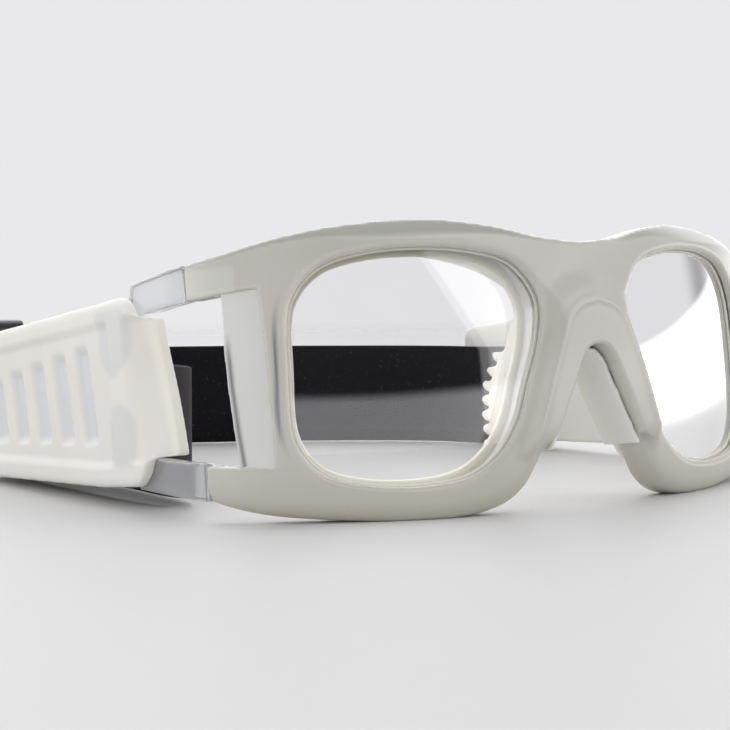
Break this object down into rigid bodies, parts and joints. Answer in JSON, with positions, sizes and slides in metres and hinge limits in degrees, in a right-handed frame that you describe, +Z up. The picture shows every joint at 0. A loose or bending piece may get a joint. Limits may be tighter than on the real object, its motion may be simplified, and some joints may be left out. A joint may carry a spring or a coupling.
{
  "type": "sports protective goggles",
  "caption": "Wraparound sports goggles with a milky one-piece front, clear side arms and lenses, silicone nose cushion and temple pads, and a black elastic head strap.",
  "frame": {"origin": "centre of the part's overall box, on the table it stands on", "axes": "+Z up, -Y the front (the way the wearer looks), +X to the right seen from the front, which is the wearer's left"},
  "size_m": [0.1464, 0.1609, 0.0536],
  "materials": {
    "milky_front": "glossy, slightly see-through milky grey",
    "clear_arm": "clear, polished",
    "lens": "clear, polished",
    "gasket": "smooth silicone, cream",
    "cushion": "smooth silicone, cream",
    "temple_pad": "satin silicone, milky cream",
    "stud": "satin",
    "elastic": "woven elastic, matte black",
    "slider": "satin black",
    "thread": "black thread"
  },
  "bodies": {
    "spectacle": {"frame_front": "milky_front", "side_arm_right": "clear_arm", "side_arm_left": "clear_arm", "lens_right": "lens", "lens_left": "lens", "lens_gasket_right": "gasket", "lens_gasket_left": "gasket", "temple_pad_right": "temple_pad", "temple_pad_left": "temple_pad", "strap_stud_right": "stud", "strap_stud_left": "stud"},
    "cushion": {"nose_cushion": "cushion"},
    "head_strap": {"strap": "elastic", "strap_stitching": "thread"},
    "adjuster": {"strap_slider": "slider"}
  },
  "joints": [
    {"name": "strap_swing", "type": "hinge", "parent": "spectacle", "child": "head_strap", "pos_m": [0, 0.0091, 0.0135], "axis": [1, 0, 0], "range_deg": [-8, 25]},
    {"name": "slider_travel", "type": "slide", "parent": "head_strap", "child": "adjuster", "axis": [0.2334, 0.9724, 0], "range_m": [-0.002, 0.005]},
    {"name": "cushion_pull_off", "type": "slide", "parent": "spectacle", "child": "cushion", "axis": [0, 0.9934, -0.1149], "range_m": [0, 0.02]}
  ]
}
